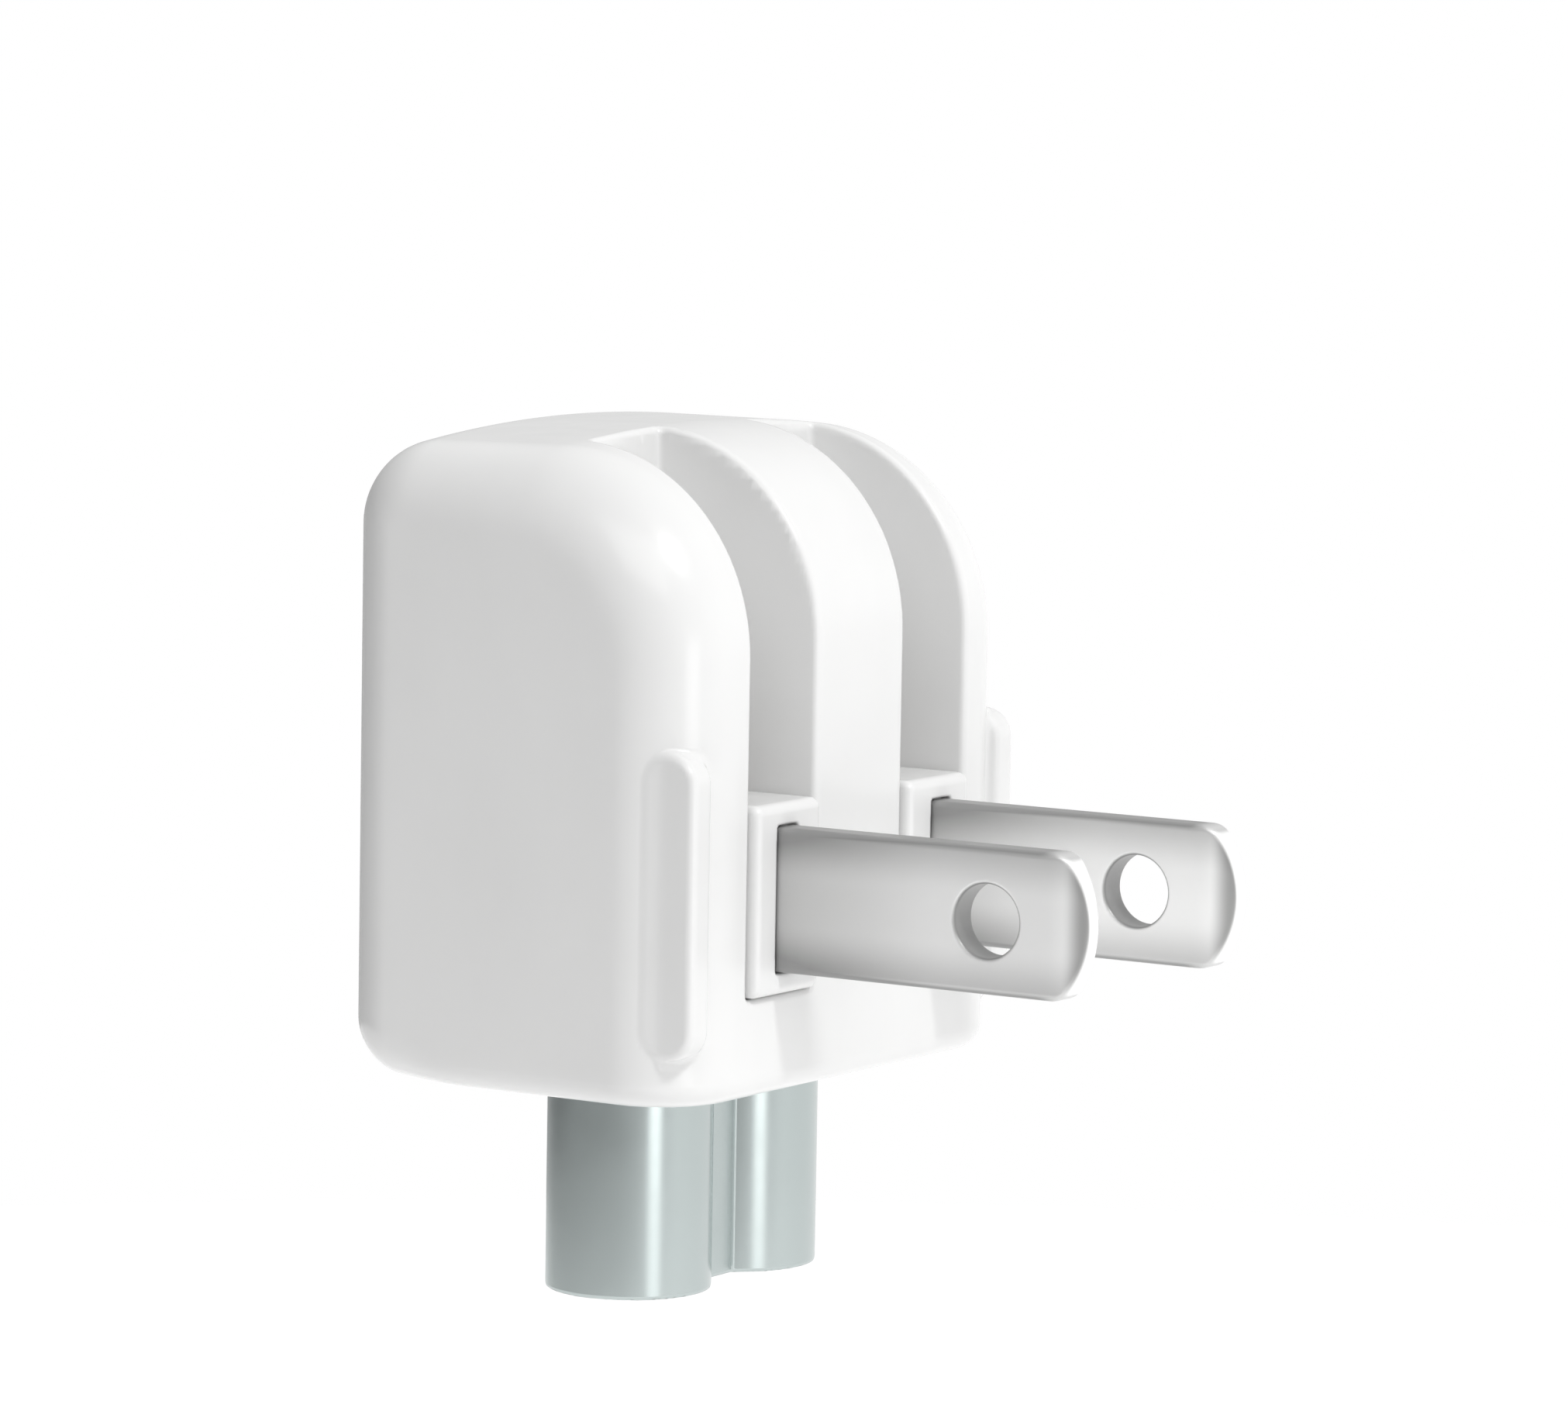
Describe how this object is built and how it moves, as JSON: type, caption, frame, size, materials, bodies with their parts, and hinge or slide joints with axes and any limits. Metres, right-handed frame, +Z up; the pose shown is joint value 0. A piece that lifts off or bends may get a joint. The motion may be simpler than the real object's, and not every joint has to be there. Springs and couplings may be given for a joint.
{
  "type": "folding mains plug head",
  "caption": "Compact charger plug head: flat mains blades that fold up into slots in a rounded housing, grip fins on its front edges, and a figure-eight connector underneath.",
  "frame": {"origin": "centre of the flat front face, midway between the blades at blade-centre height", "axes": "-Y along the unfolded blades towards the outlet, +X from the left blade to the right one, +Z up, away from the connector"},
  "size_m": [0.0272, 0.0345, 0.0384],
  "materials": {
    "white_plastic": "white polycarbonate, glossy",
    "grey_plastic": "blue-grey moulded plastic, satin",
    "frame_plastic": "natural moulded plastic, matt",
    "bush_plastic": "natural bearing plastic, satin",
    "nickel": "nickel-plated brass, satin",
    "brass": "stamped brass, satin",
    "bronze": "spring bronze, satin",
    "steel": "spring steel, satin"
  },
  "bodies": {
    "housing": {"front_housing": "white_plastic", "rear_cover": "white_plastic", "connector_body": "grey_plastic", "contact_frame": "frame_plastic", "frame_screw": "steel", "detent_spring": "steel", "socket_contact_left": "brass", "socket_contact_right": "brass", "bus_strip_left": "brass", "bus_strip_right": "brass", "contact_spring_left": "bronze", "contact_spring_right": "bronze", "strip_rivet_left": "brass", "strip_rivet_right": "brass", "axle_bush_left": "bush_plastic", "axle_bush_right": "bush_plastic"},
    "blades": {"blade_carrier": "white_plastic", "blade_left": "nickel", "blade_right": "nickel", "heel_contact_left": "brass", "heel_contact_right": "brass"}
  },
  "joints": [
    {"name": "blade_fold", "type": "hinge", "parent": "housing", "child": "blades", "pos_m": [0, 0.0038, 0], "axis": [-1, 0, 0], "range_deg": [0, 90]}
  ]
}
